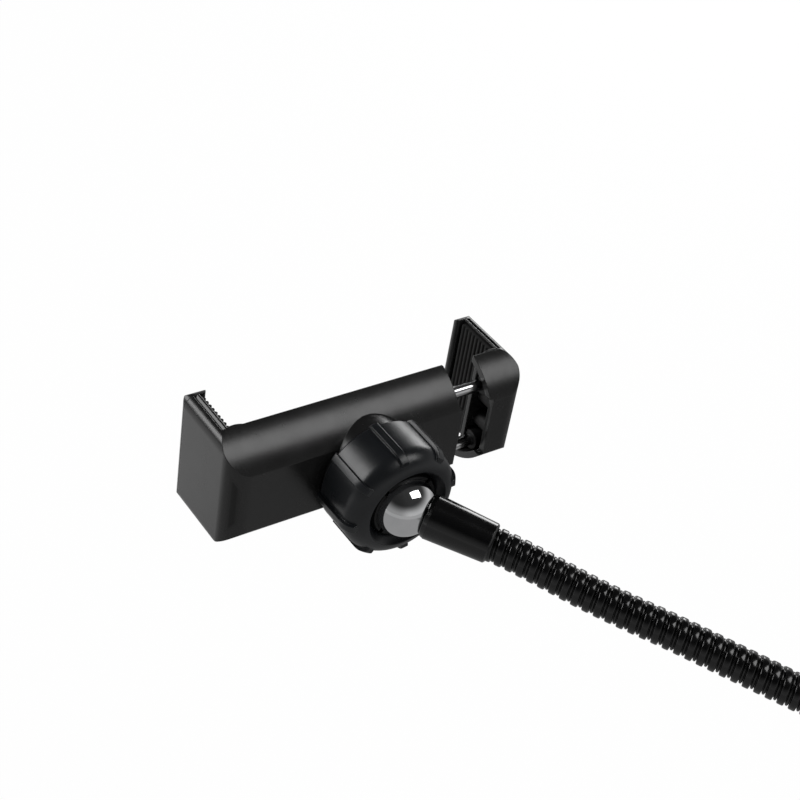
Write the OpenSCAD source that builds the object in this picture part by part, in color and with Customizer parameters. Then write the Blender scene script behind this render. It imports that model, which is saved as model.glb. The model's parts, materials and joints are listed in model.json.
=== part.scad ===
// Spring clamp for a phone, carried on a ball joint and a gooseneck arm.
// The origin is the middle of the face that the phone's back rests on.
// +X runs from the fixed jaw to the sliding jaw, +Y out of the rest face
// towards the phone, and +Z up. The ball joint stands out of the back, along -Y.

/* [Grip] */
// Distance between the two grip pads, as the holder stands
grip_w = 67.1; // [62:0.1:76]
// How far the sliding jaw can still close from there
close_travel = 8.2; // [6:0.1:9]
// How far the sliding jaw can open from there
open_travel = 18; // [12:0.5:18]
// Height of the clamp
clamp_h = 28.9; // [28:0.1:34]
// Depth of the phone bay, from the rest face to the lips
bay_d = 12.1; // [9:0.1:15]
// Thickness of the lip in front of the phone
lip_t = 2; // [1.6:0.1:2.6]
// How far each lip stands in from its grip pad
lip_in = 0.85; // [0.5:0.05:3]
// Width of the sliding jaw's housing, from its open end to its grip pad
jaw_w = 4.55; // [4.4:0.05:6]
// Gap left between the two housings with the jaw closed
closed_gap = 0.3; // [0.2:0.05:0.6]

/* [Housing] */
// Depth of the housing behind the rest face
back_d = 9.3; // [9.2:0.1:11]
// Height of the bevel at the top and bottom of the back
bevel_h = 6.65; // [5.8:0.05:8]
// Width of the straight edge in front of that bevel
bevel_edge = 0.65; // [0.4:0.05:1.2]
// How far the bevel bulges out of its chord
bevel_bulge = 0.8; // [0.5:0.05:1.2]
// Wall of the housing
shell_t = 1.6; // [1.4:0.05:1.8]
// Wall at the housing's end, which the rods pass through
end_t = 2.2; // [1.8:0.1:3]
// Outer skin of each side wall
skin_t = 2; // [1.8:0.05:2.4]
// Inner liner of each side wall
liner_t = 1.3; // [1.1:0.05:1.6]
// Radius of the rear vertical corners
corner_r = 4.8; // [3.5:0.1:5.2]
// Radius of a side wall's top and bottom edges
wall_r = 2.8; // [1.6:0.1:2.8]
// How far the bevels of both housings end short of the flat between them
step_in = 0.9; // [0.4:0.1:1.2]
// Front cover plate thickness
plate_t = 1; // [0.9:0.05:1.1]
// Rest pad thickness
rest_pad_t = 0.5; // [0.4:0.05:0.6]
// Grip pad thickness, with its ridges
pad_t = 1.1; // [1:0.05:1.5]

/* [Slide] */
// Diameter of each guide rod
rod_d = 2.8; // [2.6:0.05:3]
// Distance of each rod's axis from the top or bottom of the clamp
rod_in = 6.35; // [6:0.05:6.6]
// Gap between the rods and the front covers' plates
rod_room = 0.4; // [0.35:0.05:0.8]
// Diameter of the turned-down end of each rod
spigot_d = 1.9; // [1.7:0.05:2]
// Thickness of the yoke plate that joins the rods
yoke_t = 2; // [1.5:0.1:2.4]
// Outer diameter of each return spring
spring_d = 3.4; // [3:0.05:3.5]
// Distance between the axes of a rod and its spring
spring_in = 3.7; // [3.5:0.05:4]
// Length of each return spring with the jaw wide open
spring_len = 18.3; // [17.5:0.1:20]
// Wire diameter of each return spring
spring_wire = 0.5; // [0.4:0.02:0.56]
// Turns of each return spring
spring_turns = 15; // [12:1:17]

/* [Ball joint] */
// Offset of the ball joint from the middle of the grip
knob_x = -3.4; // [-5:0.1:-3.2]
// Diameter of the ball
ball_d = 14; // [13.6:0.1:14.2]
// Distance of the ball's centre behind the rest face
ball_y = 22.6; // [22.4:0.1:23.4]
// Radius of the round boss on the housing's back
boss_r = 11.7; // [11:0.1:12.2]
// How far the boss stands out of the back
boss_out = 0.7; // [0.5:0.05:1]
// Radius of the socket's threaded part
socket_r = 9.15; // [9:0.05:9.3]
// Width of the slots between the socket's fingers
slot_w = 1.2; // [0.8:0.1:1.6]
// Number of slots
slots = 4; // [3:1:6]

/* [Knob] */
// How far the knob's barrel stays inside the clamp's height
knob_in = 0.95; // [0.5:0.05:1.4]
// Gap between the knob and the boss
knob_gap = 0.5; // [0.3:0.05:0.8]
// Radius of the knob's rounded shoulder
shoulder_r = 4.6; // [3.5:0.1:4.9]
// Radius of the opening at the knob's face
opening_r = 9.45; // [9.2:0.05:9.8]
// Number of ribs round the knob
ribs = 8; // [6:1:12]
// How far a rib stands out
rib_out = 0.8; // [0.5:0.05:1.1]
// Width of a rib
rib_w = 1.7; // [1.2:0.1:2.2]
// Turn of the ribs about the knob's axis
rib_phase = 9; // [0:1:44]

/* [Arm] */
// Lean of the arm from the knob's axis
arm_tilt = 36.8; // [0:0.1:37]
// Direction of that lean about the knob's axis
arm_roll = -10.7; // [-180:0.1:180]
// Radius of the sleeve beside the ball
sleeve_r = 5.05; // [4.9:0.05:5.1]
// Radius of the sleeve at the gooseneck
sleeve_tip_r = 4.5; // [4.35:0.05:4.8]
// Distance of the sleeve's far end from the ball's centre
sleeve_end = 20.6; // [19.5:0.1:24]
// Outer diameter of the gooseneck
goose_d = 7.8; // [7.2:0.05:8]
// Pitch of the gooseneck's wound bands
goose_pitch = 2.64; // [2.4:0.02:3]
// Length of gooseneck between the sleeve and the end ferrule
goose_len = 73.5; // [60:0.5:120]
// Length of the end ferrule
ferrule_len = 16; // [12:0.5:24]

/* [Hidden] */

$fn = 96;
over = 1;                                     // how far a cutter runs past a face

half_h = clamp_h / 2;
half_w = grip_w / 2;
flat_h = half_h - bevel_h;                    // half the height of the flat back
seam = 0.05;                                  // gap between two mouldings of one housing
wall_t = pad_t + liner_t + seam + skin_t;     // whole side wall with its pad
out_x = half_w + wall_t;                      // outer face of either side wall
skin_x = out_x - skin_t;                      // inner face of that outer skin
liner_x = half_w + pad_t;                     // face that a grip pad is fixed to
jaw_x = half_w - jaw_w;                       // open end of the sliding jaw
fixed_x = jaw_x - close_travel - closed_gap;  // open end of the fixed housing
end_in = fixed_x - end_t;                     // inner face of its end wall
rim_y = 0.2;                                  // the rim lies this far behind the rest face
plate_y = rest_pad_t + plate_t;               // inner face of a front cover's plate
floor_y = back_d - shell_t;                   // inner face of the housing's back
lip_y = bay_d + lip_t;                        // front of the lips

rod_r = rod_d / 2;
slide_gap = 0.06;                             // running gap of a rod in its guide
press_gap = 0.02;                             // gap of a part that is pressed in place
rod_z = half_h - rod_in;                      // height of the rods' axes
rod_y = plate_y + rod_room + rod_r;           // depth of the rods' axes
spring_z = rod_z - spring_in;                 // height of the springs' axes
spring_y = plate_y + rod_room + spring_d / 2; // depth of the springs' axes
yoke_r = rod_r + 0.1;                         // round end of the yoke
yoke_path = yoke_r + 0.2;                     // relief that the yoke's ends run in
yoke_x = end_in - open_travel - spring_len;   // right face of the yoke and shoulder of the rods
clip_t = 0.6;                                 // thickness of a retaining clip
clip_r = yoke_r;
clip_groove = spigot_d * 0.36;
spigot_len = yoke_t + clip_t + 0.6;
rod_seat = 2.4;                               // radius of the boss that holds a rod in the jaw
rod_tip = skin_x - 0.6;                       // end of a rod in the sliding jaw
rib_t = 2;                                    // guide web in the housing
rib_gap = 2;                                  // left between yoke and web with the jaw wide open
rib_x = end_in - spring_len + rib_gap + rib_t / 2;

screw_r = 0.95;                               // small self-tapping screw
head_r = 1.8;
pilot = 0.05;                                 // gap round a screw's shank
post_r = 1.9;                                 // post that takes such a screw
post_xs = [-skin_x + 4.4, end_in - 5];        // posts of the fixed housing
jaw_post_x = jaw_x + 3.7;
jaw_post_z = 3.4;
screw_len = 4.6;

knob_r = half_h - knob_in;                    // radius of the knob between its ribs
ball_r = ball_d / 2;
ball_gap = 0.05;
boss_y = back_d + boss_out;                   // face of the boss, and foot of the socket
knob_rear = boss_y + knob_gap;
knob_bore = socket_r + 0.1;
finger_y = ball_y + 0.6;                      // tips of the socket's fingers
throat_y = ball_y - 0.2;                      // narrowest place of the knob
throat_r = ball_r + 1.1;
cone_y = throat_y - 3.4;                      // foot of the cone that closes the fingers
cone_gap = 0.12;
seat_r = 5.1;                                 // radius of the ball's seat
seat_foot = 3.25;                             // floor of the socket under that seat
seat_drop = 5.6;                              // rim of that seat, behind the ball's centre
seat_y = boss_y + seat_foot;
seat_h = ball_y - seat_y - seat_drop;
knob_face = throat_y + 2.1;                   // where the shoulder's arc meets the front
shoulder_y = knob_face - shoulder_r;
bolt_r = 2;                                   // screw that holds the socket
bolt_head_r = 2.8;
bolt_head_h = 1.9;
bolt_in = 2.5;                                // length of its thread in the socket
recess_w = 3;                                 // cross recess in its head
peg_r = 1;                                    // pegs that stop the socket turning
peg_off = 6.3;
peg_len = 1.2;

stem_r = 3;
stem_end = 14.2;
sleeve_start = 5.3;
goose_r = goose_d / 2;
goose_in = 3.4;                               // length held in the sleeve and in the ferrule
goose_gap = 0.06;
goose_turns = floor((goose_len + 2 * goose_in) / goose_pitch) - 1;
goose_sides = 20;
// One band of the gooseneck: place along the pitch and depth below the crown.
// A wide flat band, a groove, a narrow wire and a second groove.
goose_band = [[0, 0.5], [0.12, 0.05], [0.6, 0], [0.72, 0.5], [0.86, 0.18]];
// The gentle set that the arm has: length and turn of each arc, one after another
goose_bends = [[8, 3.5], [10, 0.8], [9, -2.8], [9, -1.5], [10, 1.7]];
bend_roll = -117.5;                           // plane of those arcs, about the arm's axis

black = [0.13, 0.13, 0.13];
rubber = [0.07, 0.07, 0.07];
steel = [0.75, 0.76, 0.78];

// Extrudes an outline drawn in Y and Z along X, from x0 to x1
module along_x(x0, x1) {
    translate([x0, 0, 0]) rotate([90, 0, 90]) linear_extrude(x1 - x0) children();
}

// Extrudes an outline drawn in X and Z along Y, from y0 to y1
module along_y(y0, y1) {
    translate([0, y1, 0]) rotate([90, 0, 0]) linear_extrude(y1 - y0) children();
}

// Extrudes an outline drawn in X and Y over the height h, both ways from the middle
module along_z(h) {
    translate([0, 0, -h / 2]) linear_extrude(h) children();
}

// Puts local z on the knob's axis, pointing out of the back, with 0 at the rest face
module on_axis() {
    translate([knob_x, 0, 0]) rotate([90, 0, 0]) children();
}

// Puts local z on the arm's axis, with 0 at the ball's centre
module on_arm() {
    on_axis() translate([0, 0, ball_y])
        rotate([0, 0, arm_roll]) rotate([0, arm_tilt, 0]) children();
}

// One bevel of the housing: the disc whose edge is the bulged bevel
module bevel_disc(inset) {
    a = [-bevel_edge, half_h];
    b = [-back_d, half_h - bevel_h];
    chord = norm(a - b);
    r = (chord * chord / 4 + bevel_bulge * bevel_bulge) / (2 * bevel_bulge);
    normal = [a[1] - b[1], b[0] - a[0]] / chord;
    centre = (a + b) / 2 + (r - bevel_bulge) * normal;
    translate(centre) circle(r - inset, $fn = 180);
}

// Outline of the housing in Y and Z, inset by a wall, up to a given front.
// It runs on behind the back where the plan cuts it.
module section(inset, front, behind = 0) {
    intersection() {
        translate([-back_d + inset - behind, -half_h + inset])
            square([back_d - inset + behind + front, clamp_h - 2 * inset]);
        bevel_disc(inset);
        mirror([0, 1]) bevel_disc(inset);
    }
}

// Plan in X and Y of a housing whose outer side wall is at -out_x, inset by a wall.
// The rear corner is round, and the housing runs to x1.
module plan(inset, skin, x1, front) {
    x0 = -out_x + skin;
    translate([x0 + corner_r - inset, -back_d + inset])
        square([x1 - x0 - corner_r + inset, back_d - inset + front]);
    translate([x0, -back_d + corner_r]) square([corner_r, back_d - corner_r + front]);
    translate([x0 + corner_r - inset, -back_d + corner_r]) circle(corner_r - inset);
}

// Front view of a housing: its side wall's top and bottom edges are round
module front_view(x1) {
    translate([-out_x, wall_r - half_h]) square([2 * wall_r, clamp_h - 2 * wall_r]);
    translate([-out_x + wall_r, -half_h]) square([x1 + out_x - wall_r, clamp_h]);
    for (side = [-1, 1]) translate([-out_x + wall_r, side * (half_h - wall_r)]) circle(wall_r);
}

// Cutter from x0 to x1 for the top and bottom bevels, from the height z outwards
module bevel_cut(x0, x1, z) {
    for (side = [0, 1]) mirror([0, 0, side])
        translate([x0, -back_d - over, z]) cube([x1 - x0, back_d + 2 * over, half_h + over - z]);
}

// Rear half of a housing, with the outer skin of its side wall
module back_shell(x1) {
    difference() {
        intersection() {
            along_x(-out_x, x1) section(0, bay_d, over);
            along_z(clamp_h + over) {
                plan(0, 0, x1, -rim_y);
                translate([-out_x, -back_d + corner_r]) square([skin_t, back_d - corner_r + bay_d]);
            }
            along_y(-back_d, bay_d) front_view(x1);
        }
        children();
    }
}

// Hollow of a housing, open at the front, from the skin to x1
module hollow(x1) {
    intersection() {
        along_x(-skin_x, x1) section(shell_t, over, over);
        along_z(clamp_h) plan(shell_t, skin_t, x1, over);
    }
}

// Front half of a housing: plate behind the phone, liner of the side wall, and lip
module front_shell(x1) {
    intersection() {
        along_x(-skin_x + seam, x1) section(shell_t + seam, over);
        along_z(clamp_h) {
            translate([-skin_x + seam, -plate_y]) square([x1 + skin_x - seam, plate_t]);
            translate([-skin_x + seam, -plate_y]) square([liner_t, plate_y - rim_y + 0.01]);
        }
    }
    liner();
    lip();
}

// Liner of a side wall: its outer top edge is cut back, which leaves a groove beside the skin
module liner() {
    cut = liner_t * 0.65;
    along_y(-rim_y, bay_d + 0.01) {
        polygon([[-skin_x + seam, cut - half_h], [-skin_x + seam + cut, -half_h], [-liner_x, -half_h],
            [-liner_x, half_h], [-skin_x + seam + cut, half_h], [-skin_x + seam, half_h - cut]]);
    }
}

// Lip in front of the phone: a rounded hook that closes the side wall's front
module lip() {
    round_out = lip_t - 0.1;
    round_in = lip_t / 2 - 0.05;
    groove = 0.4;
    tip_x = -half_w + lip_in;
    intersection() {
        along_z(clamp_h) {
            translate([-out_x + groove, bay_d]) square([skin_t, lip_t - round_out]);
            translate([-out_x, bay_d + groove]) square([round_out, lip_y - round_out - bay_d - groove + 0.01]);
            intersection() {
                translate([-out_x + round_out, lip_y - round_out]) circle(round_out);
                translate([-out_x, bay_d]) square([skin_t + liner_t, lip_t]);
            }
            translate([-out_x + round_out, bay_d]) square([tip_x - round_in + out_x - round_out, lip_t]);
            translate([tip_x - round_in, bay_d + round_in]) circle(round_in);
            translate([tip_x - round_in, lip_y - round_in]) circle(round_in);
            translate([tip_x - round_in, bay_d + round_in]) square([round_in, lip_t - 2 * round_in]);
        }
        along_y(bay_d, lip_y) front_view(0);
        along_x(-out_x, 0) {
            translate([0, -half_h]) square([lip_y - lip_t, clamp_h]);
            translate([0, lip_t - half_h]) square([lip_y, clamp_h - 2 * lip_t]);
            for (side = [-1, 1]) {
                translate([lip_y - lip_t, side * (half_h - lip_t)]) circle(lip_t);
            }
        }
    }
}

// Grip pad with upright ridges, on the liner of the left wall
module grip_pad() {
    ridge_r = 0.45;
    base_t = pad_t - ridge_r;
    margin = 0.5;
    count = floor((bay_d - 2 * margin) / (2.6 * ridge_r));
    step = (bay_d - 2 * margin - 2 * ridge_r) / (count - 1);
    along_z(clamp_h - 1.6) {
        translate([-liner_x, margin]) square([base_t, bay_d - 2 * margin]);
        for (i = [0 : count - 1]) {
            translate([-half_w - ridge_r, margin + ridge_r + i * step]) circle(ridge_r, $fn = 24);
        }
    }
}

// Post for a self-tapping screw, standing on the housing's floor
module post(x, z) {
    translate([x, -plate_y, z]) rotate([90, 0, 0]) cylinder(r = post_r, h = floor_y - plate_y + 0.4);
}

// Pilot hole of such a post
module post_hole(x, z) {
    translate([x, -plate_y + over, z]) rotate([90, 0, 0]) cylinder(r = screw_r + pilot, h = screw_len + over);
}

// Countersunk hole in a plate over a post
module plate_hole(x, z) {
    translate([x, -rest_pad_t, z]) rotate([90, 0, 0]) {
        translate([0, 0, -over]) cylinder(r = screw_r + pilot, h = plate_t + 2 * over);
        cylinder(r1 = head_r + pilot, r2 = screw_r + pilot, h = head_r - screw_r);
        translate([0, 0, -over]) cylinder(r = head_r + pilot, h = over);
    }
}

// Self-tapping screw with a countersunk head and a cross recess
module small_screw(x, z) {
    cone_h = head_r - screw_r;
    translate([x, -rest_pad_t - 0.02, z]) rotate([90, 0, 0]) difference() {
        union() {
            cylinder(r1 = head_r, r2 = screw_r, h = cone_h);
            translate([0, 0, cone_h - 0.01]) cylinder(r = screw_r, h = screw_len - cone_h);
        }
        for (turn = [0, 90]) {
            rotate([0, 0, turn]) translate([-head_r * 0.55, -0.2, -over]) cube([head_r * 1.1, 0.4, over + 0.5]);
        }
    }
}

module rear_cover() {
    color(black) {
        difference() {
            union() {
                difference() {
                    back_shell(fixed_x) hollow(end_in);
                    bevel_cut(fixed_x - step_in, fixed_x + over, flat_h);
                }
                // round boss that the ball socket stands on
                difference() {
                    on_axis() translate([0, 0, rim_y]) cylinder(r = boss_r, h = boss_y - rim_y);
                    hollow(end_in);
                }
                for (x = post_xs) post(x, 0);
                // web that guides the rods
                intersection() {
                    along_x(rib_x - rib_t / 2, rib_x + rib_t / 2) section(shell_t - 0.1, -plate_y - 0.1);
                    along_z(clamp_h) translate([rib_x - rib_t, -back_d]) square([2 * rib_t, back_d]);
                }
            }
            for (side = [-1, 1]) {
                // path of a rod through web and end wall, and its relief in the bevelled wall
                translate([0, -rod_y, side * rod_z]) rotate([0, 90, 0]) {
                    cylinder(r = rod_r + slide_gap, h = fixed_x + over);
                    translate([0, 0, yoke_x - spigot_len - close_travel - 0.5])
                        cylinder(r = yoke_path, h = open_travel + close_travel + spigot_len + 1);
                }
                // path of a spring through the web
                translate([rib_x - rib_t, -spring_y, side * spring_z]) rotate([0, 90, 0])
                    cylinder(r = spring_d / 2 + 0.25, h = 2 * rib_t);
            }
            for (x = post_xs) post_hole(x, 0);
            // screw and pegs of the ball socket
            on_axis() {
                translate([0, 0, floor_y - over]) cylinder(r = bolt_r + pilot, h = boss_y);
                for (side = [-1, 1]) {
                    translate([0, side * peg_off, boss_y - peg_len - 0.1])
                        cylinder(r = peg_r + pilot, h = peg_len + over);
                }
            }
        }
    }
}

module front_cover() {
    color(black) difference() {
        front_shell(end_in - seam);
        for (x = post_xs) plate_hole(x, 0);
    }
}

module cover_screws() {
    color(steel) for (x = post_xs) small_screw(x, 0);
}

module left_pad() {
    color(rubber) grip_pad();
}

// Soft pad behind the phone, with round corners
module rest_pad() {
    pad_r = 3;
    x0 = -liner_x + 2;
    x1 = end_in - 1;
    h = clamp_h - 2 * shell_t - 4;
    color(rubber) along_y(-rest_pad_t, 0) {
        translate([x0 + pad_r, -h / 2]) square([x1 - x0 - 2 * pad_r, h]);
        translate([x0, pad_r - h / 2]) square([x1 - x0, h - 2 * pad_r]);
        for (x = [x0 + pad_r, x1 - pad_r], z = [pad_r - h / 2, h / 2 - pad_r]) translate([x, z]) circle(pad_r);
    }
}

// The sliding jaw is drawn as a left-hand housing and mirrored
module jaw_shell() {
    color(black) mirror([1, 0, 0]) difference() {
        union() {
            difference() {
                back_shell(-jaw_x + step_in) hollow(-jaw_x + step_in + over);
                // the flat of the back ends first, with room for the flat of the other housing
                along_y(-back_d - over, bay_d) translate([-jaw_x, -flat_h - closed_gap])
                    square([step_in + over, 2 * (flat_h + closed_gap)]);
            }
            for (side = [-1, 1]) {
                // boss that holds a rod, inside the bevelled wall
                intersection() {
                    translate([-skin_x - 0.5, -rod_y, side * rod_z]) rotate([0, 90, 0])
                        cylinder(r = rod_seat, h = skin_x + 0.5 - jaw_x - 0.6);
                    along_x(-skin_x - 0.5, -jaw_x) section(0.1, -plate_y - 0.1);
                }
                post(-jaw_post_x, side * jaw_post_z);
            }
        }
        for (side = [-1, 1]) {
            translate([-rod_tip, -rod_y, side * rod_z]) rotate([0, 90, 0])
                cylinder(r = rod_r + press_gap, h = rod_tip);
            post_hole(-jaw_post_x, side * jaw_post_z);
        }
    }
}

module jaw_cover() {
    color(black) mirror([1, 0, 0]) difference() {
        front_shell(-jaw_x - seam);
        for (side = [-1, 1]) plate_hole(-jaw_post_x, side * jaw_post_z);
    }
}

module jaw_screws() {
    color(steel) for (side = [-1, 1]) small_screw(jaw_post_x, side * jaw_post_z);
}

module right_pad() {
    color(rubber) mirror([1, 0, 0]) grip_pad();
}

// Guide rod with a turned-down end for the yoke and a groove for its clip
module rod(side) {
    edge = 0.3;
    color(steel) translate([0, -rod_y, side * rod_z]) rotate([0, 90, 0]) {
        translate([0, 0, yoke_x]) cylinder(r = rod_r, h = rod_tip - edge - yoke_x);
        translate([0, 0, rod_tip - edge - 0.01]) cylinder(r1 = rod_r, r2 = rod_r - edge, h = edge);
        difference() {
            translate([0, 0, yoke_x - spigot_len]) cylinder(r = spigot_d / 2, h = spigot_len + 0.01);
            translate([0, 0, yoke_x - yoke_t - clip_t]) difference() {
                cylinder(r = spigot_d, h = clip_t);
                translate([0, 0, -over]) cylinder(r = clip_groove, h = clip_t + 2 * over);
            }
        }
    }
}

module upper_rod() {
    rod(1);
}

module lower_rod() {
    rod(-1);
}

// Plate across the rods' inner ends, which the springs push
module rod_yoke() {
    color([0.6, 0.6, 0.62]) difference() {
        along_x(yoke_x - yoke_t, yoke_x) {
            translate([-rod_y - yoke_r, -rod_z]) square([2 * yoke_r, 2 * rod_z]);
            // back of the springs
            translate([-spring_y - spring_d / 2, -spring_z]) square([spring_d / 2, 2 * spring_z]);
            for (side = [-1, 1]) translate([-rod_y, side * rod_z]) circle(yoke_r);
        }
        for (side = [-1, 1]) {
            translate([yoke_x - yoke_t - over, -rod_y, side * rod_z]) rotate([0, 90, 0])
                cylinder(r = spigot_d / 2 + press_gap, h = yoke_t + 2 * over);
        }
    }
}

// Open retaining rings in the grooves of the rods
module rod_clips() {
    color(steel) for (side = [-1, 1]) {
        translate([yoke_x - yoke_t - clip_t, -rod_y, side * rod_z]) rotate([0, 90, 0]) difference() {
            cylinder(r = clip_r, h = clip_t - press_gap);
            translate([0, 0, -over]) cylinder(r = clip_groove + press_gap, h = clip_t + 2 * over);
            translate([0, -clip_groove * 0.7, -over]) cube([spigot_d, clip_groove * 1.4, clip_t + 2 * over]);
        }
    }
}

// Coil of round wire along z, from 0 to length
module coil(length, r, wire_r, turns) {
    steps = 10;
    sides = 5;
    count = turns * steps;
    climb = (length - 2 * wire_r) / count;
    points = [for (i = [0 : count], k = [0 : sides - 1])
        let (a = 360 * i / steps, b = 360 * k / sides, q = r + wire_r * cos(b))
        [q * cos(a), q * sin(a), wire_r + climb * i + wire_r * sin(b)]];
    walls = [for (i = [0 : count - 1], k = [0 : sides - 1])
        let (n = (k + 1) % sides)
        [i * sides + k, i * sides + n, (i + 1) * sides + n, (i + 1) * sides + k]];
    caps = [[for (k = [0 : sides - 1]) sides - 1 - k], [for (k = [0 : sides - 1]) count * sides + k]];
    polyhedron(points, concat(walls, caps), convexity = 10);
}

// Return spring between the yoke and the housing's end wall
module return_spring(side) {
    gap = 0.02;
    color(steel) translate([yoke_x + gap, -spring_y, side * spring_z]) rotate([0, 90, 0])
        coil(end_in - yoke_x - 2 * gap, (spring_d - spring_wire) / 2, spring_wire / 2, spring_turns);
}

module upper_spring() {
    return_spring(1);
}

module lower_spring() {
    return_spring(-1);
}

// Slotted cup that grips the ball, with a thread outside for the knob
module ball_socket() {
    edge = 0.6;
    tip_r = throat_r - cone_gap - 0.35;
    color(black) {
        on_axis() difference() {
            rotate_extrude() polygon([[0, boss_y], [socket_r - edge, boss_y], [socket_r, boss_y + edge],
                [socket_r, cone_y - 0.3], [throat_r - cone_gap, throat_y], [tip_r, finger_y], [0, finger_y]]);
            translate([0, 0, ball_y]) sphere(ball_r + ball_gap);
            // pocket of the seat
            translate([0, 0, seat_y - 0.05]) cylinder(r = seat_r + 0.1, h = ball_y - seat_y);
            // thread of the screw from inside the housing
            translate([0, 0, boss_y - over]) cylinder(r = bolt_r + pilot, h = over + bolt_in + 0.1);
            for (i = [0 : slots - 1]) {
                rotate([0, 0, 45 + 360 * i / slots])
                    translate([seat_r - 0.4, -slot_w / 2, seat_y + 1.2]) cube([socket_r, slot_w, ball_y]);
            }
        }
        on_axis() for (side = [-1, 1]) {
            translate([0, side * peg_off, boss_y - peg_len]) cylinder(r = peg_r, h = peg_len + 0.4);
        }
    }
}

// Screw from inside the housing into the socket's foot
module socket_screw() {
    color(steel) on_axis() difference() {
        union() {
            translate([0, 0, floor_y - bolt_head_h]) cylinder(r = bolt_head_r, h = bolt_head_h);
            translate([0, 0, floor_y - 0.01]) cylinder(r = bolt_r, h = boss_y + bolt_in - floor_y);
        }
        for (turn = [0, 90]) {
            rotate([0, 0, turn]) translate([-recess_w / 2, -0.35, floor_y - bolt_head_h - over])
                cube([recess_w, 0.7, over + 1]);
        }
    }
}

// Cup-shaped seat under the ball
module ball_seat() {
    color([0.85, 0.85, 0.82]) on_axis() difference() {
        translate([0, 0, seat_y]) cylinder(r = seat_r, h = seat_h);
        translate([0, 0, ball_y]) sphere(ball_r + 0.1);
        translate([0, 0, seat_y - over]) cylinder(r = 1.6, h = seat_h + 2 * over);
    }
}

// Outline of the knob's outside, radius first, grown by the height of the ribs
module knob_outline(grow) {
    edge = 0.7;
    round_r = shoulder_r + grow * 0.6;
    reach = knob_r + grow;
    top = shoulder_y + round_r;
    polygon([[0, knob_rear], [reach - edge, knob_rear], [reach, knob_rear + edge], [reach, shoulder_y],
        [reach - round_r, shoulder_y], [reach - round_r, top], [0, top]]);
    intersection() {
        translate([reach - round_r, shoulder_y]) circle(round_r);
        translate([reach - round_r - 0.01, shoulder_y - 0.01]) square(round_r + 0.02);
    }
}

// Round cap with ribs. Its cone closes the socket's fingers on the ball.
module locking_knob() {
    lead = 0.4;
    color([0.12, 0.12, 0.13]) on_axis() difference() {
        union() {
            rotate_extrude() knob_outline(0);
            intersection() {
                rotate_extrude() knob_outline(rib_out);
                for (i = [0 : ribs - 1]) {
                    rotate([0, 0, rib_phase + 360 * i / ribs])
                        translate([knob_r * 0.75, -rib_w / 2, 0])
                            cube([knob_r, rib_w, shoulder_y + shoulder_r * 0.76]);
                }
            }
        }
        rotate_extrude() polygon([[0, knob_rear - over], [knob_bore + lead, knob_rear - over],
            [knob_bore + lead, knob_rear], [knob_bore, knob_rear + lead], [knob_bore, cone_y],
            [throat_r, throat_y], [opening_r, knob_face - 0.3], [opening_r + 0.5, knob_face + 0.2],
            [opening_r + 0.5, knob_face + over], [0, knob_face + over]]);
    }
}

// Polished ball with its stem, turned in one piece
module ball_stud() {
    edge = 0.4;
    color([0.85, 0.86, 0.88]) on_arm() {
        sphere(ball_r, $fn = 128);
        cylinder(r = stem_r, h = stem_end - edge);
        translate([0, 0, stem_end - edge - 0.01]) cylinder(r1 = stem_r, r2 = stem_r - edge, h = edge);
    }
}

// Tapered sleeve between ball and gooseneck, with a rounded rim at the ball
module arm_sleeve() {
    rim_r = 1.4;
    tip_edge = 0.35;
    color([0.06, 0.06, 0.06]) on_arm() difference() {
        rotate_extrude() {
            polygon([[0, sleeve_start], [sleeve_r - rim_r * 0.65, sleeve_start],
                [sleeve_r - rim_r * 0.25, sleeve_start + rim_r * 0.35], [sleeve_r, sleeve_start + rim_r],
                [sleeve_tip_r, sleeve_end - tip_edge], [sleeve_tip_r - tip_edge, sleeve_end], [0, sleeve_end]]);
        }
        sphere(ball_r + 0.12);
        cylinder(r = stem_r + ball_gap, h = stem_end + 0.5);
        translate([0, 0, sleeve_end - goose_in]) cylinder(r = goose_r + goose_gap, h = goose_in + over);
    }
}

// End of an arc that starts at p with heading a, is l long and turns by t degrees
function arc_end(p, a, l, t) = abs(t) < 0.01 ? p + l * [sin(a), cos(a)]
    : p + l * 180 / (PI * t) * [cos(a) - cos(a + t), sin(a + t) - sin(a)];

// Place and heading on the gooseneck at the distance s from the sleeve's end
function route(s, i = 0, p = [0, 0], a = 0) =
    s <= 0 || i == len(goose_bends) ? [p + s * [sin(a), cos(a)], a]
    : let (l = goose_bends[i][0], t = goose_bends[i][1])
    s <= l ? [arc_end(p, a, s, t * s / l), a + t * s / l]
    : route(s - l, i + 1, arc_end(p, a, l, t), a + t);

// Point of the wound surface, turned to angle a, at the distance s and radius r
function wound(s, a, r) =
    let (q = route(s), p = q[0], h = q[1])
    [p[0] + r * cos(a) * cos(h), r * sin(a), p[1] - r * cos(a) * sin(h)];

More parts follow.
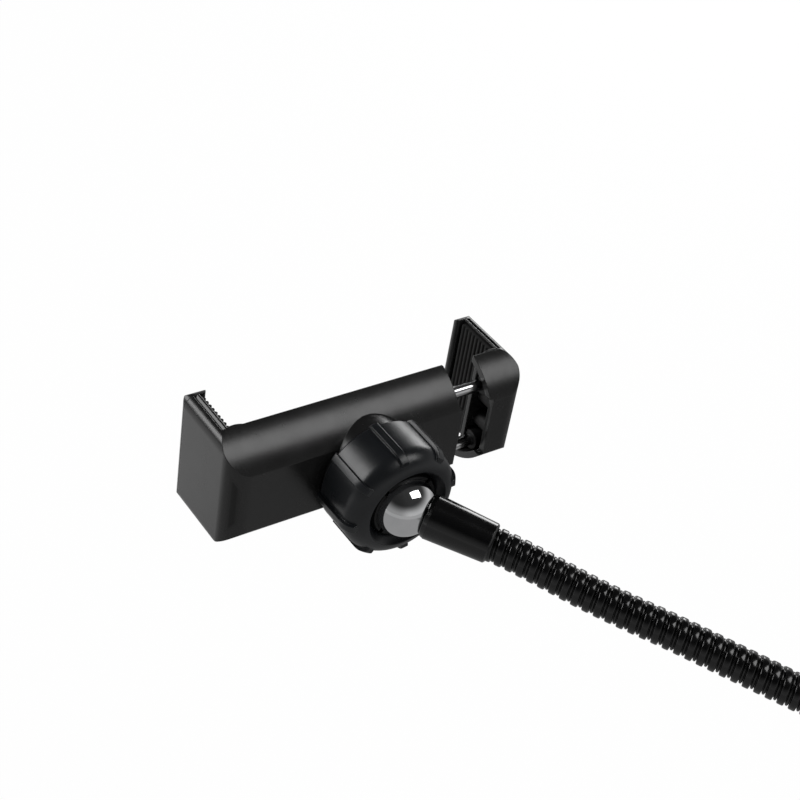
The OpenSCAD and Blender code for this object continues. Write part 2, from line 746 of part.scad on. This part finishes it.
// Gooseneck: one band profile wound as a screw along the arm's gentle set
module gooseneck() {
    m = goose_sides;
    bands = len(goose_band);
    last = goose_turns * m;
    start = -goose_in + 0.2;
    spacing = (goose_len + 2 * goose_in - 0.4) / (goose_turns + 1);
    points = concat(
        [for (j = [0 : last + m], b = [0 : bands - 1])
            let (f = min(j, last + (b == 0 ? m : 0)) / m + goose_band[b][0])
            wound(start + spacing * min(f, goose_turns + 1), 360 * j / m, goose_r - goose_band[b][1])],
        [wound(start + spacing / 2, 0, 0), wound(start + spacing * (goose_turns + 0.5), 0, 0)]);
    foot = len(points) - 2;
    tip = len(points) - 1;
    walls = [for (j = [0 : last - 1], b = [0 : bands - 1])
        let (p = j * bands + b, n = b == bands - 1 ? (j + m) * bands : p + 1)
        each [[p, n, n + bands], [p, n + bands, p + bands]]];
    caps = concat(
        [for (j = [0 : m - 1]) [foot, j * bands, (j + 1) * bands]],
        [for (b = [0 : bands - 1]) [foot, b == bands - 1 ? m * bands : b + 1, b]],
        [for (j = [last : last + m - 1]) [tip, (j + 1) * bands, j * bands]],
        [for (b = [0 : bands - 1])
            [tip, last * bands + b, b == bands - 1 ? (last + m) * bands : last * bands + b + 1]]);
    color([0.08, 0.08, 0.08]) on_arm() translate([0, 0, sleeve_end]) rotate([0, 0, bend_roll])
        polyhedron(points, concat(walls, caps), convexity = 20);
}

// Plain ferrule on the arm's far end, where a stand takes hold
module end_ferrule() {
    edge = 0.6;
    tip = route(goose_len);
    color([0.06, 0.06, 0.06]) on_arm() translate([0, 0, sleeve_end]) rotate([0, 0, bend_roll])
        translate([tip[0][0], 0, tip[0][1]]) rotate([0, tip[1], 0]) difference() {
            rotate_extrude() polygon([[0, 0], [sleeve_tip_r - edge, 0], [sleeve_tip_r, edge],
                [sleeve_tip_r, ferrule_len - edge], [sleeve_tip_r - edge, ferrule_len], [0, ferrule_len]]);
            translate([0, 0, -over]) cylinder(r = goose_r + goose_gap, h = goose_in + over);
        }
}

rear_cover();
front_cover();
cover_screws();
left_pad();
rest_pad();
jaw_shell();
jaw_cover();
jaw_screws();
right_pad();
upper_rod();
lower_rod();
rod_yoke();
rod_clips();
upper_spring();
lower_spring();
ball_socket();
socket_screw();
ball_seat();
locking_knob();
ball_stud();
arm_sleeve();
gooseneck();
end_ferrule();
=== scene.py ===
import json
import math

import bpy
from mathutils import Matrix, Vector


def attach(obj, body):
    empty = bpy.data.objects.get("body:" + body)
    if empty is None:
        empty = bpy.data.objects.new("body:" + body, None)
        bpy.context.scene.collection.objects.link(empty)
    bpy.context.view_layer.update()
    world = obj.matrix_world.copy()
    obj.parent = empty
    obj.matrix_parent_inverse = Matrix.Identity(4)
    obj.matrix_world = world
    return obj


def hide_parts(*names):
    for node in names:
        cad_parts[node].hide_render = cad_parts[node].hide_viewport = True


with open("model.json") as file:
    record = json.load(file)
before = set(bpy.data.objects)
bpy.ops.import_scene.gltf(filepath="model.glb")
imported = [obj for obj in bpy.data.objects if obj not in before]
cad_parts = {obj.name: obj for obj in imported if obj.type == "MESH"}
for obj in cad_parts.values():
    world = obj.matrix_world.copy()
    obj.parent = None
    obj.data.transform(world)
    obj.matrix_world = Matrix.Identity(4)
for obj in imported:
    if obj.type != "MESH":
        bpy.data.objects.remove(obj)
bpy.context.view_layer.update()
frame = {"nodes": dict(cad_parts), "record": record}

MM = 0.001


class Nodes:
    """Short ways to add nodes to a tree"""

    def __init__(self, tree):
        self.tree = tree

    def node(self, kind):
        return self.tree.nodes.new(kind)

    def feed(self, socket, source):
        """Links another node's output to a socket, or sets the socket's value"""
        if isinstance(source, bpy.types.NodeSocket):
            self.tree.links.new(source, socket)
        else:
            socket.default_value = source

    def split(self, vector):
        """The X, Y and Z of a vector"""
        node = self.node("ShaderNodeSeparateXYZ")
        self.feed(node.inputs[0], vector)
        return node.outputs

    def math(self, operation, a, b=0.0):
        node = self.node("ShaderNodeMath")
        node.operation = operation
        self.feed(node.inputs[0], a)
        self.feed(node.inputs[1], b)
        return node.outputs["Value"]

    def ramp(self, value, span, result=(0.0, 1.0), curve="LINEAR"):
        """A value that runs over a span, mapped to a result and clamped"""
        node = self.node("ShaderNodeMapRange")
        node.interpolation_type = curve
        names = ("From Min", "From Max", "To Min", "To Max")
        for name, number in zip(names, (*span, *result)):
            node.inputs[name].default_value = number
        self.feed(node.inputs["Value"], value)
        return node.outputs["Result"]


# Materials

# Spans in which most of a noise's values lie
NARROW, WIDE = (0.35, 0.65), (0.3, 0.7)
# Cosine between the true and the rounded normal, on a face and at an edge
FACE_TO_EDGE = (0.995, 0.93)
ROUNDING_SAMPLES = 6
# Moulded edges rubbed by handling: gain and lift of the colour, drop in roughness
RUBBED_GAIN, RUBBED_LIFT, RUBBED_POLISH = 1.35, 0.004, 0.08
HOLLOW_ROUGH = 0.62

# Limits of the housings' hollow faces in mm, where painted shade goes: where the outside ends and where
# the hollow begins.
# The first is a radius about a centre in Y and Z, along the bevels. X and Z lose their sign.
BEVEL_CENTRE = (8.2, -2.9)
BEVEL_LIMIT = (18.9, 18.2)
BACK_LIMIT = (-8.9, -8.3)
COVER_LIMIT = (-1.6, -2.2)
TOP_LIMIT = (14.0, 13.4)
SIDE_LIMIT = (37.4, 36.8)


class Material(Nodes):
    """A Principled material mixed from noise in the object's own metres.

    Sharp edges look rounded to a radius in mm."""

    def __init__(self, name, rounding):
        self.material = bpy.data.materials.new(name)
        self.material.use_nodes = True
        super().__init__(self.material.node_tree)
        self.tree.nodes.clear()
        output = self.node("ShaderNodeOutputMaterial")
        self.principled = self.node("ShaderNodeBsdfPrincipled")
        self.feed(output.inputs["Surface"], self.principled.outputs["BSDF"])
        self.coord = self.node("ShaderNodeTexCoord").outputs["Object"]
        bevel = self.node("ShaderNodeBevel")
        bevel.samples = ROUNDING_SAMPLES
        bevel.inputs["Radius"].default_value = rounding * MM
        self.normal = bevel.outputs["Normal"]

    def noise(self, per_m, detail, rough, stretch=(1, 1, 1), turn=(0, 0, 0)):
        mapping = self.node("ShaderNodeMapping")
        mapping.inputs["Scale"].default_value = stretch
        mapping.inputs["Rotation"].default_value = turn
        self.feed(mapping.inputs["Vector"], self.coord)
        noise = self.node("ShaderNodeTexNoise")
        noise.inputs["Scale"].default_value = per_m
        noise.inputs["Detail"].default_value = detail
        noise.inputs["Roughness"].default_value = rough
        self.feed(noise.inputs["Vector"], mapping.outputs["Vector"])
        return noise.outputs["Fac"]

    def mix(self, factor, a, b):
        """Colour a, or b where factor is 1"""
        node = self.node("ShaderNodeMix")
        node.data_type = "RGBA"
        self.feed(node.inputs["Factor"], factor)
        for name, colour in (("A", a), ("B", b)):
            socket = next(each for each in node.inputs if each.name == name and each.type == "RGBA")
            self.feed(socket, (*colour, 1.0) if isinstance(colour, tuple) else colour)
        return next(each for each in node.outputs if each.type == "RGBA")

    def edges(self):
        """1 on an edge that looks rounded, 0 on a plain face; asked for before any bump"""
        dot = self.node("ShaderNodeVectorMath")
        dot.operation = "DOT_PRODUCT"
        self.feed(dot.inputs[0], self.normal)
        self.feed(dot.inputs[1], self.node("ShaderNodeNewGeometry").outputs["Normal"])
        return self.ramp(dot.outputs["Value"], FACE_TO_EDGE)

    def bump(self, height, depth, strength):
        """Relief on top of what is there already, with its depth in mm"""
        node = self.node("ShaderNodeBump")
        node.inputs["Strength"].default_value = strength
        node.inputs["Distance"].default_value = depth * MM
        self.feed(node.inputs["Height"], height)
        self.feed(node.inputs["Normal"], self.normal)
        self.normal = node.outputs["Normal"]

    def hollow(self):
        """1 on the hollow faces of either housing, where painted shade goes, 0 on its outside"""
        place = self.split(self.coord)
        x, z = self.math("ABSOLUTE", place["X"]), self.math("ABSOLUTE", place["Z"])
        y = place["Y"]
        squares = []
        for value, centre in zip((y, z), BEVEL_CENTRE):
            offset = self.math("SUBTRACT", value, centre * MM)
            squares.append(self.math("MULTIPLY", offset, offset))
        radius = self.math("SQRT", self.math("ADD", *squares))
        limits = ((radius, BEVEL_LIMIT), (y, BACK_LIMIT), (y, COVER_LIMIT), (z, TOP_LIMIT),
                  (x, SIDE_LIMIT))
        mask = 1.0
        for value, (outside, inside) in limits:
            mask = self.math("MULTIPLY", self.ramp(value, (outside * MM, inside * MM)), mask)
        return mask

    def done(self, colour, rough, **others):
        """The finished material; others are values of the Principled shader's other inputs"""
        for name, value in others.items():
            self.principled.inputs[name.replace("_", " ")].default_value = value
        self.feed(self.principled.inputs["Base Color"], colour)
        self.feed(self.principled.inputs["Roughness"], rough)
        self.feed(self.principled.inputs["Normal"], self.normal)
        return self.material


def moulded(name, dark, light, rough, painted_hollow_shade=None, shine=0.5):
    """Moulded plastic: spark-eroded grain, faint flow marks and edges rubbed shinier.

    A colour given for the hollow faces is painted shade there; those faces are also rougher, being
    unpolished."""
    surface = Material(name, rounding=0.25)
    worn = surface.edges()
    flow = surface.noise(per_m=55, detail=4, rough=0.6)
    handling = surface.noise(per_m=210, detail=5, rough=0.65)
    surface.bump(surface.noise(per_m=5200, detail=2, rough=0.5), depth=0.012, strength=0.6)
    surface.bump(surface.noise(per_m=420, detail=2, rough=0.5), depth=0.02, strength=0.35)
    rubbed = tuple(min(1.0, RUBBED_GAIN * part + RUBBED_LIFT) for part in light)
    patches = surface.math("MULTIPLY", worn, surface.ramp(handling, span=(0.4, 0.6), result=(0.2, 0.8)))
    colour = surface.mix(patches, surface.mix(surface.ramp(flow, NARROW), dark, light), rubbed)
    polish = surface.math("MULTIPLY", worn, RUBBED_POLISH)
    roughness = surface.math("SUBTRACT", surface.ramp(handling, WIDE, rough), polish)
    # The hollow faces get a darker colour as painted shade, and more roughness
    if painted_hollow_shade:
        hollow = surface.hollow()
        colour = surface.mix(hollow, colour, painted_hollow_shade)
        roughness = surface.math("MAXIMUM", roughness, surface.math("MULTIPLY", hollow, HOLLOW_ROUGH))
    return surface.done(colour, roughness, Specular_IOR_Level=shine)


def gloss(name, dark, light, rough, coat):
    """Smooth lacquered surface with a slight orange peel and fine wipe marks"""
    surface = Material(name, rounding=0.2)
    haze = surface.noise(per_m=160, detail=4, rough=0.6)
    wipes = surface.noise(per_m=900, detail=3, rough=0.6, stretch=(0.15, 1, 1), turn=(0, 0.4, 0.9))
    surface.bump(surface.noise(per_m=380, detail=1, rough=0.4), depth=0.012, strength=0.35)
    colour = surface.mix(surface.ramp(haze, NARROW), dark, light)
    wiped = surface.ramp(wipes, span=(0.55, 0.75), result=(0, 0.05))
    roughness = surface.math("ADD", surface.ramp(haze, WIDE, rough), wiped)
    return surface.done(colour, roughness, Specular_IOR_Level=0.5, Coat_Weight=coat, Coat_Roughness=0.06)


def metal(name, dark, light, rough, depth, stretch=(1, 1, 1)):
    """Bare or plated metal, with tool marks of a depth in mm that may be stretched to lines"""
    surface = Material(name, rounding=0.12)
    cloud = surface.noise(per_m=180, detail=4, rough=0.6)
    marks = surface.noise(per_m=900, detail=3, rough=0.6, stretch=stretch)
    surface.bump(marks, depth, strength=0.6)
    colour = surface.mix(surface.ramp(cloud, NARROW), dark, light)
    marked = surface.ramp(marks, span=(0.5, 0.75), result=(0, 0.04))
    roughness = surface.math("ADD", surface.ramp(cloud, WIDE, rough), marked)
    return surface.done(colour, roughness, Metallic=1.0)


def rubber(name, dark, light, rough):
    """Matt rubber with a fine grain and a little dust in patches"""
    surface = Material(name, rounding=0.15)
    dust = surface.noise(per_m=300, detail=5, rough=0.7)
    surface.bump(surface.noise(per_m=3600, detail=3, rough=0.6), depth=0.03, strength=0.7)
    colour = surface.mix(surface.ramp(dust, span=(0.45, 0.75)), dark, light)
    return surface.done(colour, surface.ramp(dust, WIDE, rough), Specular_IOR_Level=0.35)


# Each material's darkest and lightest colour, and its least and greatest roughness
looks = {
    # The clamp's third, darker colour is painted shade for its hollow faces
    "clamp_plastic": moulded("clamp_plastic", (0.0085, 0.0085, 0.0085), (0.0110, 0.0110, 0.0109),
                             (0.22, 0.28), painted_hollow_shade=(0.0025, 0.0025, 0.0025)),
    "knob_plastic": moulded("knob_plastic", (0.0054, 0.0064, 0.0078), (0.0076, 0.0087, 0.0104),
                            (0.27, 0.34)),
    "socket_plastic": moulded("socket_plastic", (0.0022, 0.0022, 0.0024), (0.0034, 0.0034, 0.0036),
                              (0.46, 0.56), shine=0.28),
    "seat_plastic": moulded("seat_plastic", (0.70, 0.69, 0.63), (0.76, 0.75, 0.70), (0.35, 0.45)),
    "pad_rubber": rubber("pad_rubber", (0.016, 0.016, 0.016), (0.026, 0.026, 0.025), (0.62, 0.80)),
    "rod_steel": metal("rod_steel", (0.70, 0.70, 0.71), (0.80, 0.80, 0.80), (0.10, 0.17),
                       depth=0.0015, stretch=(6, 0.4, 0.4)),
    "yoke_steel": metal("yoke_steel", (0.50, 0.50, 0.50), (0.62, 0.61, 0.58), (0.32, 0.45),
                        depth=0.004),
    "spring_steel": metal("spring_steel", (0.46, 0.46, 0.47), (0.60, 0.60, 0.61), (0.22, 0.34),
                          depth=0.003),
    "screw_steel": metal("screw_steel", (0.52, 0.52, 0.52), (0.66, 0.66, 0.64), (0.25, 0.36),
                         depth=0.003),
    "ball_chrome": metal("ball_chrome", (0.77, 0.78, 0.79), (0.84, 0.84, 0.85), (0.035, 0.07),
                         depth=0.0004),
    "sleeve_gloss": gloss("sleeve_gloss", (0.0014, 0.0014, 0.0016), (0.0028, 0.0028, 0.0030),
                          (0.14, 0.20), coat=0.25),
    "gooseneck_gloss": gloss("gooseneck_gloss", (0.0014, 0.0014, 0.0016), (0.0030, 0.0030, 0.0032),
                             (0.13, 0.20), coat=0.2),
}
slots = {row["node"]: row["material_slot"] for row in frame["record"]["subparts"]}
for node, piece in frame["nodes"].items():
    piece.data.materials.clear()
    piece.data.materials.append(looks[slots[node]])


# Gooseneck

# The arm's axis starts at the ball, tilted from the knob's axis, -Y, and rolled about it
BALL = Vector((-3.4, -22.6, 0)) * MM
TILT, ROLL = math.radians(36.8), math.radians(-10.7)
AXIS = Vector((math.sin(TILT) * math.cos(ROLL), -math.cos(TILT), math.sin(TILT) * math.sin(ROLL)))
SIDE = Vector((math.cos(TILT) * math.cos(ROLL), math.sin(TILT), math.cos(TILT) * math.sin(ROLL)))
OVER = Vector((-math.sin(ROLL), 0, math.cos(ROLL)))
SLEEVE_END = 20.6 * MM
# Arcs one after another from the sleeve on, each with its length in mm and its turn in degrees
BENDS = [(8, 3.5), (10, 0.8), (9, -2.8), (9, -1.5), (10, 1.7)]
BEND_ROLL = math.radians(-117.5)
IN_PLANE = SIDE * math.cos(BEND_ROLL) + OVER * math.sin(BEND_ROLL)
OFF_PLANE = OVER * math.cos(BEND_ROLL) - SIDE * math.sin(BEND_ROLL)
NECK_R = 3.9 * MM
NECK_FROM, NECK_LEN = -3.2 * MM, 79.9 * MM
NECK_TURNS = 30
NECK_SIDES = 48
# The wide band, a groove, the narrow wire and a groove: place along the pitch, depth in mm
BAND = [(0.0, 0.95), (0.035, 0.55), (0.06, 0.16), (0.10, 0.04), (0.16, 0.0), (0.53, 0.0),
        (0.59, 0.04), (0.63, 0.16), (0.655, 0.55), (0.69, 0.95), (0.715, 0.62), (0.76, 0.42),
        (0.845, 0.34), (0.93, 0.42), (0.975, 0.62)]


def route(along):
    """Offset, advance and heading of the neck's axis in its plane, at a length past the sleeve"""
    offset = advance = heading = 0.0
    for length, turn in BENDS:
        length, turn = length * MM, math.radians(turn)
        part = min(along, length)
        if part <= 0:
            break
        swept = turn * part / length
        radius = length / turn
        offset += radius * (math.cos(heading) - math.cos(heading + swept))
        advance += radius * (math.sin(heading + swept) - math.sin(heading))
        heading += swept
        along -= part
    return offset + along * math.sin(heading), advance + along * math.cos(heading), heading


def neck_point(along, angle, radius):
    """Point beside the neck's axis, at a radius and an angle about it"""
    offset, advance, heading = route(along)
    in_plane = offset + radius * math.cos(angle) * math.cos(heading)
    off_plane = radius * math.sin(angle)
    ahead = advance - radius * math.cos(angle) * math.sin(heading) + SLEEVE_END
    return BALL + IN_PLANE * in_plane + OFF_PLANE * off_plane + AXIS * ahead


def wound_neck():
    """The wide flat band and the narrow wire between its turns, as one screw surface.

    A turn's last row joins the first row of the turn after it."""
    rows = len(BAND)
    steps = NECK_TURNS * NECK_SIDES
    pitch = NECK_LEN / (NECK_TURNS + 1)
    verts, faces = [], []
    for step in range(steps + NECK_SIDES + 1):
        angle = 2 * math.pi * step / NECK_SIDES
        for place, depth in BAND:
            last = steps if place else steps + NECK_SIDES
            turns = min(step, last) / NECK_SIDES + place
            along = NECK_FROM + pitch * min(turns, NECK_TURNS + 1)
            verts.append(neck_point(along, angle, NECK_R - depth * MM))
    for step in range(steps):
        for row in range(rows):
            here = step * rows + row
            beside = here + 1 if row < rows - 1 else (step + NECK_SIDES) * rows
            faces.append((here, here + rows, beside + rows, beside))
    mesh = bpy.data.meshes.new("neck_bands")
    mesh.from_pydata(verts, [], faces)
    mesh.update()
    for polygon in mesh.polygons:
        polygon.use_smooth = True
    obj = bpy.data.objects.new("neck_bands", mesh)
    bpy.context.scene.collection.objects.link(obj)
    mesh.materials.append(looks["gooseneck_gloss"])
    return obj


neck = wound_neck()
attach(neck, "arm")
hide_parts("gooseneck")


# Stage, light and camera

FLOOR_Z = -0.16
FLOOR_REACH = 6.0
# Share of plain white in what the camera sees of the floor, which leaves the rest to its shadow
FLOOR_WHITE = 0.97
# The floor as a glossy surface reflects it: spans in metres and the glow there. It is dark on the
# camera's side and paler behind the object, less so towards +X, and never quite dark far off.
FLOOR_BEHIND = (0.06, 0.18), (0.30, 0.76)
FLOOR_BESIDE = (0.10, 0.19), (1.0, 0.55)
FLOOR_FAR = (0.38, 0.85), (0.0, 0.38)
# The room as a glossy surface reflects it: spans of the ray's X and Z and the glow there. It is
# pale at the horizon, less so towards -X, and dark overhead.
ROOM_HORIZON = (-0.75, -0.1), (0.30, 0.50)
ROOM_HEIGHT = (0.05, 0.6), (1.0, 0.07)
ROOM_LIGHT = 0.42


class Studio(Nodes):
    """The tree of a surface that the camera, a gloss and the rest of the light see differently"""

    def __init__(self, tree):
        super().__init__(tree)
        path = self.node("ShaderNodeLightPath").outputs
        self.from_camera = path["Is Camera Ray"]
        self.from_gloss = self.math("MAXIMUM", path["Is Glossy Ray"], path["Is Transmission Ray"])

    def mixed(self, factor, a, b):
        """Shader a, or b where factor is 1"""
        node = self.node("ShaderNodeMixShader")
        for socket, source in zip(node.inputs, (factor, a, b)):
            self.feed(socket, source)
        return node.outputs[0]

    def glow(self, strength=1.0):
        """White that shines with a strength"""
        node = self.node("ShaderNodeEmission")
        self.feed(node.inputs["Strength"], strength)
        return node.outputs[0]

    def fade(self, value, span, result):
        """A ramp with soft ends"""
        return self.ramp(value, span, result, curve="SMOOTHSTEP")


def floor_material():
    """White to the camera with the shadow kept, and clear from below"""
    material = bpy.data.materials.new("floor")
    material.use_nodes = True
    plain = material.node_tree.nodes["Principled BSDF"]
    plain.inputs["Base Color"].default_value = (0.92, 0.92, 0.92, 1)
    plain.inputs["Roughness"].default_value = 0.9
    plain.inputs["Specular IOR Level"].default_value = 0.1
    studio = Studio(material.node_tree)
    geometry = studio.node("ShaderNodeNewGeometry").outputs
    place = studio.split(geometry["Position"])
    distance = studio.node("ShaderNodeVectorMath")
    distance.operation = "LENGTH"
    studio.feed(distance.inputs[0], geometry["Position"])
    behind = studio.fade(place["Y"], *FLOOR_BEHIND)
    beside = studio.fade(place["X"], *FLOOR_BESIDE)
    far = studio.fade(distance.outputs["Value"], *FLOOR_FAR)
    in_gloss = studio.glow(studio.math("MAXIMUM", studio.math("MULTIPLY", behind, beside), far))
    surface = studio.mixed(studio.from_gloss, plain.outputs[0], in_gloss)
    seen = studio.mixed(FLOOR_WHITE, plain.outputs[0], studio.glow())
    surface = studio.mixed(studio.from_camera, surface, seen)
    clear = studio.node("ShaderNodeBsdfTransparent").outputs[0]
    surface = studio.mixed(geometry["Backfacing"], surface, clear)
    studio.feed(studio.tree.nodes["Material Output"].inputs["Surface"], surface)
    return material


def studio_world():
    """White to the camera, and a soft light for the rest"""
    world = bpy.data.worlds.new("studio")
    world.use_nodes = True
    world.node_tree.nodes.clear()
    studio = Studio(world.node_tree)
    aim = studio.split(studio.node("ShaderNodeTexCoord").outputs["Generated"])
    horizon = studio.fade(aim["X"], *ROOM_HORIZON)
    height = studio.fade(aim["Z"], *ROOM_HEIGHT)
    in_gloss = studio.glow(studio.math("MULTIPLY", horizon, height))
    room = studio.mixed(studio.from_gloss, studio.glow(ROOM_LIGHT), in_gloss)
    room = studio.mixed(studio.from_camera, room, studio.glow())
    studio.feed(studio.node("ShaderNodeOutputWorld").inputs["Surface"], room)
    return world


def softbox(name, aim, distance, half_angles, radiance):
    """A white softbox seen from the clamp towards aim, as wide and high as its half angles say"""
    width, height = (2 * distance * math.tan(math.radians(angle)) for angle in half_angles)
    light = bpy.data.lights.new(name, "AREA")
    light.shape = "RECTANGLE"
    light.size, light.size_y = width, height
    light.energy = radiance * math.pi * width * height
    obj = bpy.data.objects.new(name, light)
    aim = Vector(aim).normalized()
    obj.location = aim * distance
    across = (Vector((1, 0, 0)) - aim * aim.x).normalized()
    obj.rotation_mode = "QUATERNION"
    obj.rotation_quaternion = Matrix((across, aim.cross(across), aim)).transposed().to_quaternion()
    bpy.context.scene.collection.objects.link(obj)


quarters = ((-1, -1), (1, -1), (1, 1), (-1, 1))
corners = [(x * FLOOR_REACH, y * FLOOR_REACH, FLOOR_Z) for x, y in quarters]
floor_mesh = bpy.data.meshes.new("floor")
floor_mesh.from_pydata(corners, [], [(0, 1, 2, 3)])
floor = bpy.data.objects.new("floor", floor_mesh)
bpy.context.scene.collection.objects.link(floor)
floor_mesh.materials.append(floor_material())

bpy.context.scene.world = studio_world()
softbox("key", aim=(0.77, 0.61, 0.20), distance=0.8, half_angles=(13, 10), radiance=4.6)
softbox("strip", aim=(0.40, -0.39, 0.83), distance=0.8, half_angles=(17, 11), radiance=3.8)
softbox("behind", aim=(-0.68, 0.55, 0.48), distance=0.9, half_angles=(12, 14), radiance=5.5)

# The photo's camera: its eye, the directions that it looks in and that are on its right, and the
# photo's width and focal length in pixels
EYE = Vector((-177.61, -224.14, 232.09)) * MM
LOOK = Vector((0.5081, 0.6084, -0.6096)).normalized()
RIGHT = Vector((0.8241, -0.5492, 0.1388))
PHOTO_W, PHOTO_FOCAL = 800, 1663.6
SENSOR_W = 36.0
cam = bpy.data.cameras.new("camera")
cam.sensor_width = SENSOR_W
cam.lens = SENSOR_W * PHOTO_FOCAL / PHOTO_W
cam.clip_start, cam.clip_end = 0.01, 50
camera = bpy.data.objects.new("camera", cam)
bpy.context.scene.collection.objects.link(camera)
camera.location = EYE
right = (RIGHT - LOOK * RIGHT.dot(LOOK)).normalized()
camera.rotation_mode = "QUATERNION"
camera.rotation_quaternion = Matrix((right, right.cross(LOOK), -LOOK)).transposed().to_quaternion()
bpy.context.scene.camera = camera
bpy.context.scene.view_settings.view_transform = "Standard"
